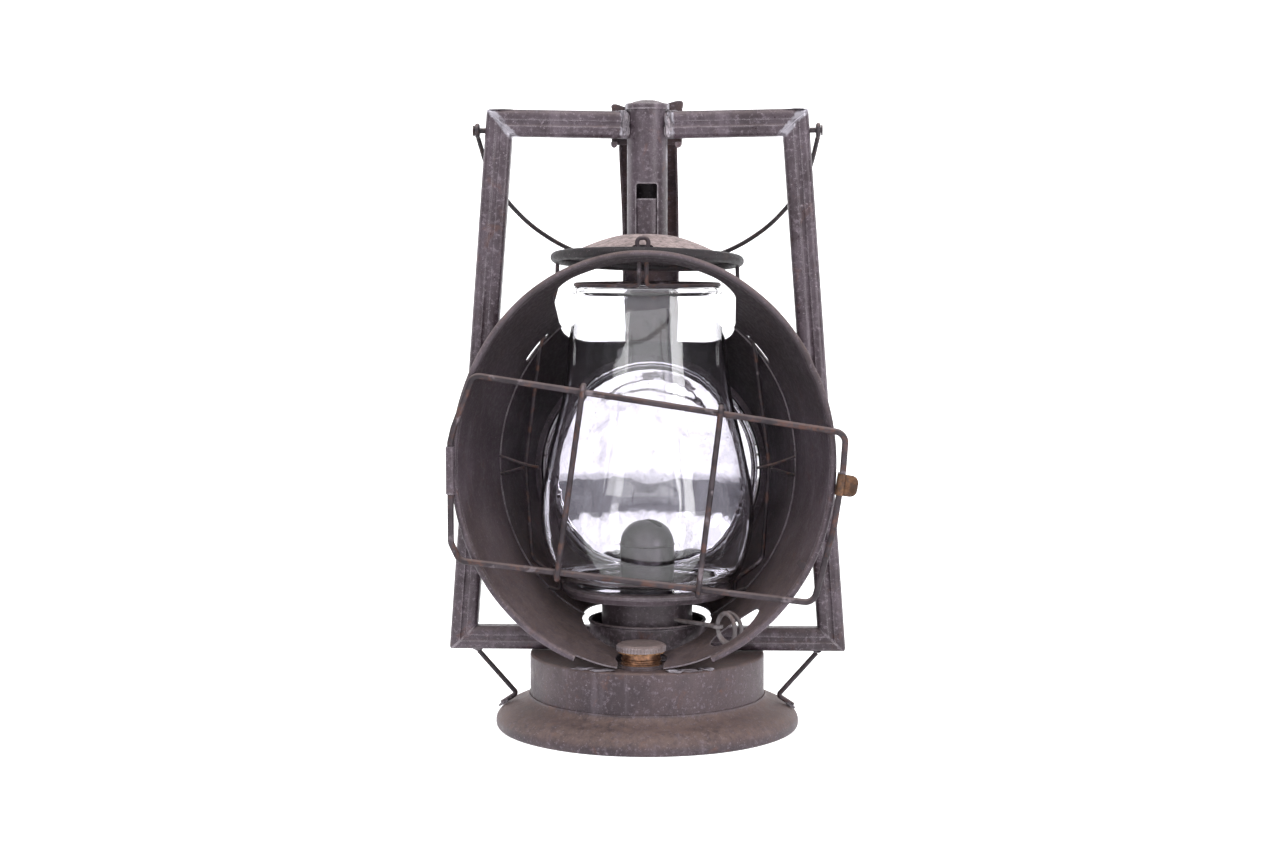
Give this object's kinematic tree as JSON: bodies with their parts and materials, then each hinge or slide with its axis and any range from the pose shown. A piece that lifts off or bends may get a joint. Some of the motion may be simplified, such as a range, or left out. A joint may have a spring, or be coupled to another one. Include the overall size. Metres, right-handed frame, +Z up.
{
  "type": "tubular kerosene lantern",
  "caption": "Tubular kerosene lantern with a flared fount, oval reflector hood, glass globe under a sliding bell, hinged wire guard and swinging bail.",
  "frame": {"origin": "centre of the base ring, on the ground it stands on", "axes": "+X to the right seen from the hood's open side, -Y out of the hood's mouth, +Z up"},
  "size_m": [0.2298, 0.177, 0.3565],
  "materials": {
    "japanned_tin": "worn dark brown japanning over tinplate, satin",
    "hood_tin": "worn dark brown japanning, dusty inside, satin",
    "bell_tin": "japanned tin under pinkish beige dust, matte",
    "burner_tin": "smoke-darkened tinplate, satin",
    "steel_wire": "dark rusty steel wire, satin",
    "worn_steel": "steel wire worn bright by fingers",
    "copper_wire": "tarnished copper-coloured metal, satin",
    "cap_tin": "knurled tinplate with brown patina, dusty",
    "brass": "tarnished brass with red tint, satin",
    "clear_glass": "clear blown glass, slightly dusty",
    "mirror_glass": "silvered glass",
    "cork": "dark fibre gasket, matte",
    "cotton": "woven cotton wick"
  },
  "bodies": {
    "frame": {"base_ring": "japanned_tin", "fount_body": "japanned_tin", "fount_bottom": "japanned_tin", "filler_collar": "brass", "air_drum": "japanned_tin", "burner_body": "burner_tin", "wick_tube": "burner_tin", "burner_cone": "burner_tin", "lower_tube_left": "japanned_tin", "lower_tube_right": "japanned_tin", "side_tube_left": "japanned_tin", "side_tube_right": "japanned_tin", "top_tube_left": "japanned_tin", "top_tube_right": "japanned_tin", "centre_tube": "japanned_tin", "tube_liner": "japanned_tin", "tube_cap": "japanned_tin", "bail_pins": "steel_wire", "brace_wires": "steel_wire", "front_hood": "hood_tin", "rear_hood": "hood_tin", "hood_rim_wire": "steel_wire", "cage_guides": "copper_wire", "reflector_glass": "mirror_glass", "reflector_pan": "japanned_tin", "handle_plate": "japanned_tin", "rear_strap": "japanned_tin", "guard_sleeve": "steel_wire"},
    "globe_cage": {"bell": "bell_tin", "cage_wires": "steel_wire", "globe_plate": "bell_tin", "globe": "clear_glass"},
    "globe_retainer": {"globe_retainer": "steel_wire"},
    "guard": {"guard_frame": "steel_wire", "guard_uprights": "steel_wire"},
    "guard_catch": {"guard_catch": "copper_wire"},
    "bail": {"bail": "steel_wire"},
    "wick_raiser": {"wick_spindle": "worn_steel", "wick_ring": "worn_steel", "star_wheels": "worn_steel"},
    "wick": {"wick": "cotton"},
    "cap_lift": {"cap_gasket": "cork"},
    "filler_cap": {"cap_head": "cap_tin", "cap_shank": "brass"}
  },
  "joints": [
    {"name": "globe_lift", "type": "slide", "parent": "frame", "child": "globe_cage", "axis": [0, 0, 1], "range_m": [0, 0.02]},
    {"name": "retainer_lift", "type": "slide", "parent": "globe_cage", "child": "globe_retainer", "axis": [0, 0, 1], "range_m": [0, 0.008]},
    {"name": "guard_swing", "type": "hinge", "parent": "frame", "child": "guard", "pos_m": [-0.1043, -0.0688, 0.153], "axis": [0, 0, -1], "range_deg": [0, 125]},
    {"name": "catch_flex", "type": "hinge", "parent": "guard", "child": "guard_catch", "pos_m": [0.10681, -0.0688, 0.1462], "axis": [-0.1514, 0, -0.9885], "range_deg": [0, 35], "stiffness_Nm_per_rad": 0.02},
    {"name": "bail_swing", "type": "hinge", "parent": "frame", "child": "bail", "pos_m": [0, 0, 0.339], "axis": [1, 0, 0], "range_deg": [0, 228]},
    {"name": "raiser_turn", "type": "hinge", "parent": "frame", "child": "wick_raiser", "pos_m": [-0.00289, -0.00352, 0.0633], "axis": [0.7727, -0.6347, 0], "range_deg": [-152, 86]},
    {"name": "wick_travel", "type": "slide", "parent": "frame", "child": "wick", "axis": [0, 0, 1], "range_m": [-0.0083, 0.0047]},
    {"name": "cap_rise", "type": "slide", "parent": "frame", "child": "cap_lift", "axis": [0, 0, 1], "range_m": [-0.005, 0.005]},
    {"name": "cap_turn", "type": "hinge", "parent": "cap_lift", "child": "filler_cap", "pos_m": [-0.0015, -0.0485, 0.05], "axis": [0, 0, 1], "range_deg": [-725, 725]}
  ],
  "couplings": [
    {"joint": "raiser_turn", "follows": "wick_travel", "rad_per_m": 312.5},
    {"joint": "cap_turn", "follows": "cap_rise", "rad_per_m": 2513.3}
  ]
}
